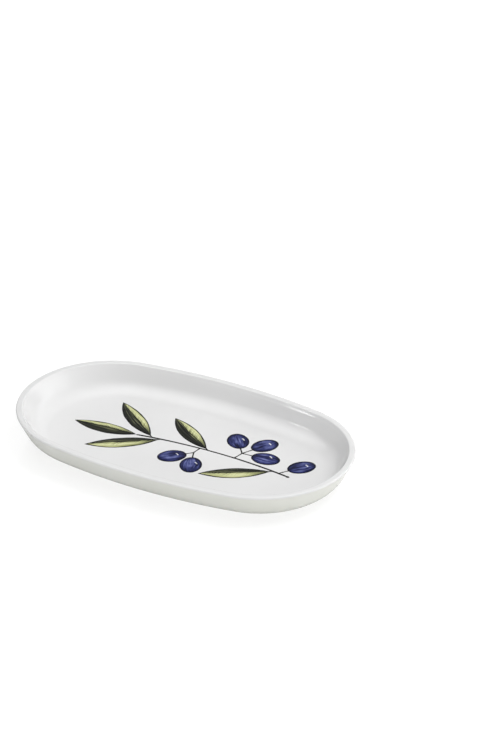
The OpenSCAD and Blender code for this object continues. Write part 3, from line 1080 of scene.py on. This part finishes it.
def limb_half(share):
    """Half width of the twig along its length."""
    knob = math.exp(-(((share - KNOB_AT) / KNOB_LONG) ** 2)) * (KNOB_HALF - TWIG_HALF)
    return TWIG_HALF * pressure(share) + knob * min(1.0, share / KNOB_START)


def stalk(start, end):
    """A straight stroke as (point, half width)."""
    shares = [k / STALK_STEPS for k in range(STALK_STEPS + 1)]
    return [(start.lerp(end, share), STALK_HALF * pressure(share)) for share in shares]


shares = [k / TWIG_STEPS for k in range(TWIG_STEPS + 1)]
strokes = [[(twig_at((0.5 - share) * TWIG_LENGTH / MM), limb_half(share)) for share in shares]]
for at, turn, length in LEAVES[1:]:
    strokes.append(stalk(twig_at(at), twig_at(at) + along(turn, LEAF_STALK + UNDER_LEAF)))
for k, (at, turn, length) in enumerate(STEMS):
    strokes.append(stalk(twig_at(at), stem_end(k) + along(turn, UNDER_FORK)))
for k, (stem, turn, length) in enumerate(OLIVES):
    strokes.append(stalk(stem_end(stem), stalk_end(k) + along(turn, UNDER_OLIVE)))
points, links, halves = [], [], []
for stroke in strokes:
    links += [(len(points) + k, len(points) + k + 1) for k in range(len(stroke) - 1)]
    points += [(p.x, p.y, 0.0) for p, half in stroke]
    halves += [half for p, half in stroke]
paths = bpy.data.meshes.new("painted_twig")
paths.from_pydata(points, links, [])
paths.attributes.new("half_width", "FLOAT", "POINT").data.foreach_set("value", halves)
values = {"Material": TWIG, "Thickness": ENAMEL, "Floor": FLOOR}
make_piece("painted_twig", paths, line, values, "twig")

# %% [markdown]
# ## Floor
#
# The dish stands on a plain white studio floor. The floor is a real surface, so it takes the dish's
# shadow and a faint reflection. A little light of its own, seen by the camera alone, lifts it to the
# white of the background; the glaze mirrors its plain white. From below it is clear, and light comes
# through it into the narrow gap under the dish, so that the underside can be looked at.

# %% Floor
REACH = 6.0
FLOOR_WHITE, SEEN_WHITE, SEEN_LIFT, FLOOR_ROUGH = 0.9, 0.3, 0.75, 0.16
LIT_GAP = 3 * MM


def grey(level):
    """A neutral colour of that light value."""
    return (level, level, level, 1.0)


floor_mesh = bpy.data.meshes.new("studio_floor")
corners = [(x * REACH, y * REACH, 0) for x, y in ((-1, -1), (1, -1), (1, 1), (-1, 1))]
floor_mesh.from_pydata(corners, [], [(0, 1, 2, 3)])
floor = bpy.data.objects.new("studio_floor", floor_mesh)
bpy.context.scene.collection.objects.link(floor)
PAPER = bpy.data.materials.new("studio_white")
PAPER.use_nodes = True
tree = PAPER.node_tree
shader = tree.nodes["Principled BSDF"]
shader.inputs["Roughness"].default_value = FLOOR_ROUGH
rays = put(tree, "ShaderNodeLightPath").outputs
seen = rays["Is Camera Ray"]
paper = mix_colour(tree, seen, grey(FLOOR_WHITE), grey(SEEN_WHITE))
tree.links.new(paper, shader.inputs["Base Color"])
lift = put(tree, "ShaderNodeEmission", {"Strength": times(tree, seen, SEEN_LIFT)})
lifted = put(tree, "ShaderNodeAddShader", {0: shader.outputs[0], 1: lift.outputs[0]})
clear = put(tree, "ShaderNodeBsdfTransparent")
behind = put(tree, "ShaderNodeNewGeometry").outputs["Backfacing"]
gap = calc(tree, "LESS_THAN", rays["Ray Length"], LIT_GAP)
open_to = calc(tree, "MAXIMUM", behind, times(tree, gap, rest_of(tree, seen)))
sheet = put(tree, "ShaderNodeMixShader", {0: open_to, 1: lifted.outputs[0], 2: clear.outputs[0]})
tree.links.new(sheet.outputs[0], tree.nodes["Material Output"].inputs["Surface"])
floor_mesh.materials.append(PAPER)
print("floor:", len(tree.nodes), "nodes")

# %% [markdown]
# ## Room
#
# The room gives soft light that grows from the horizon to the point overhead, as under a white ceiling.
# The camera sees it as plain white, and so do mirroring and clear surfaces, so that they show the
# background and not the dimmer room.

# %% World
SKY = 0.81
world = bpy.data.worlds.new("studio")
bpy.context.scene.world = world
world.use_nodes = True
tree = world.node_tree
room = tree.nodes["Background"]
room.inputs["Color"].default_value = grey(1.0)
rays = put(tree, "ShaderNodeLightPath").outputs
mirrored = calc(tree, "MAXIMUM", rays["Is Glossy Ray"], rays["Is Transmission Ray"])
seen = calc(tree, "MAXIMUM", rays["Is Camera Ray"], mirrored)
upward = parts(tree, put(tree, "ShaderNodeTexCoord").outputs["Generated"])[2]
dome = times(tree, calc(tree, "ABSOLUTE", upward), SKY)
tree.links.new(calc(tree, "MAXIMUM", seen, dome), room.inputs["Strength"])
print("room:", len(tree.nodes), "nodes")

# %% [markdown]
# ## Light
#
# Soft studio light comes mostly from above and from the right, with weak panels round the front. The
# level of a lamp is the share of full brightness that it gives to a surface that faces it. Two white
# cards and a bare bulb are there for the glaze alone and light nothing else: the upper card shows as the
# soft bright band along the cove, the side card brightens the left wall, and the bulb draws thin streaks
# on the far wall. Places are to the right, away and up, as the camera sees them.

# %% Lamps
VIEW_TURN, VIEW_RISE = math.radians(29.19), math.radians(30.53)
RIGHT = Vector((math.cos(VIEW_TURN), math.sin(VIEW_TURN), 0.0))
AWAY = Vector((-math.sin(VIEW_TURN), math.cos(VIEW_TURN), 0.0))
UP = Vector((0.0, 0.0, 1.0))
NEARER = 0.02  # share by which each panel of a card lies nearer, as panels in one plane count once


def panel(name, place, size, power, mirrored):
    """A panel that faces the dish; a mirrored one only shows in the glaze."""
    place = RIGHT * place[0] + AWAY * place[1] + UP * place[2]
    outward = place.normalized()
    across = AWAY.cross(outward).normalized()
    data = bpy.data.lights.new(name, "AREA")
    data.shape, data.size, data.size_y = "RECTANGLE", size[0], size[1]
    data.energy = power
    made = bpy.data.objects.new(name, data)
    turn = Matrix((across, outward.cross(across), outward)).transposed()
    made.matrix_world = Matrix.Translation(place) @ turn.to_4x4()
    made.visible_glossy = mirrored
    made.visible_diffuse = not mirrored
    bpy.context.scene.collection.objects.link(made)


def lamp(name, place, size, level):
    """A lamp that gives that share of full brightness to a surface that faces it."""
    panel(name, place, size, level * math.pi**2 * Vector(place).length_squared, False)


def card(name, place, size, glow, steps=1):
    """A card that shows in the glaze, glow times as bright as white paper; steps soften its edge."""
    for k in range(steps):
        share, nearer = 1 - k / steps, 1 - NEARER * k
        wide, deep = size[0] * share, size[1] * share
        power = glow / steps * math.pi * wide * deep
        panel(f"{name}_{k + 1}", tuple(nearer * c for c in place), (wide, deep), power, True)


lamp("upper_panel", (0.7, 0.0, 1.6), (0.7, 0.7), 0.34)
lamp("right_panel", (1.3, 0.3, 0.7), (0.8, 0.8), 0.2)
lamp("low_right_panel", (1.5, -0.4, 0.2), (0.8, 0.8), 0.14)
lamp("low_front_panel", (0.2, -1.5, 0.3), (1.0, 1.0), 0.2)
lamp("low_left_panel", (-0.8, -1.3, 0.15), (0.9, 0.6), 0.115)
card("upper_card", (-0.65, -0.1, 1.6), (3.2, 2.8), 3.4, steps=5)
card("side_card", (1.6, 0.0, 0.35), (1.2, 2.4), 1.8, steps=4)
card("bare_bulb", (-0.86, -0.28, 0.43), (0.05, 0.09), 15.0)

# %% [markdown]
# ## Camera
#
# The view is the one of the photograph: 29 degrees round from the front and about 31 degrees above the
# table, from 3 m away with a long lens. The dish's middle has its place left of and below the middle of
# the picture, so the camera is turned towards it rather than shifted.

# %% Camera
PICTURE = (500, 750)
MIDDLE_PIXEL = (184.58, 455.66)
PIXELS_PER_METRE = 1500.3
DISTANCE = 3.0
SENSOR = 36.0
target = Vector((0.0, 0.0, BASE))
level = math.cos(VIEW_RISE)
outward = Vector((RIGHT.y * level, -RIGHT.x * level, math.sin(VIEW_RISE)))
straight = Matrix((RIGHT, outward.cross(RIGHT), outward)).transposed()
focal_pixels = PIXELS_PER_METRE * DISTANCE
sight_x = (MIDDLE_PIXEL[0] - PICTURE[0] / 2) / focal_pixels
sight_y = (PICTURE[1] / 2 - MIDDLE_PIXEL[1]) / focal_pixels
sight = Vector((sight_x, sight_y, -1.0)).normalized()
turn_to = Vector((0.0, 0.0, -1.0)).rotation_difference(sight).to_matrix()
camera_data = bpy.data.cameras.new("camera")
camera_data.sensor_width = SENSOR
camera_data.lens = SENSOR * focal_pixels / max(PICTURE)
camera_data.clip_end = 100.0
camera = bpy.data.objects.new("camera", camera_data)
aim = (straight @ turn_to.inverted()).to_4x4()
camera.matrix_world = Matrix.Translation(target + outward * DISTANCE) @ aim
bpy.context.scene.collection.objects.link(camera)
bpy.context.scene.camera = camera
bpy.context.scene.view_settings.view_transform = "Standard"
print("lens, mm:", round(camera_data.lens, 1))

# %% Finish
bpy.context.view_layer.update()
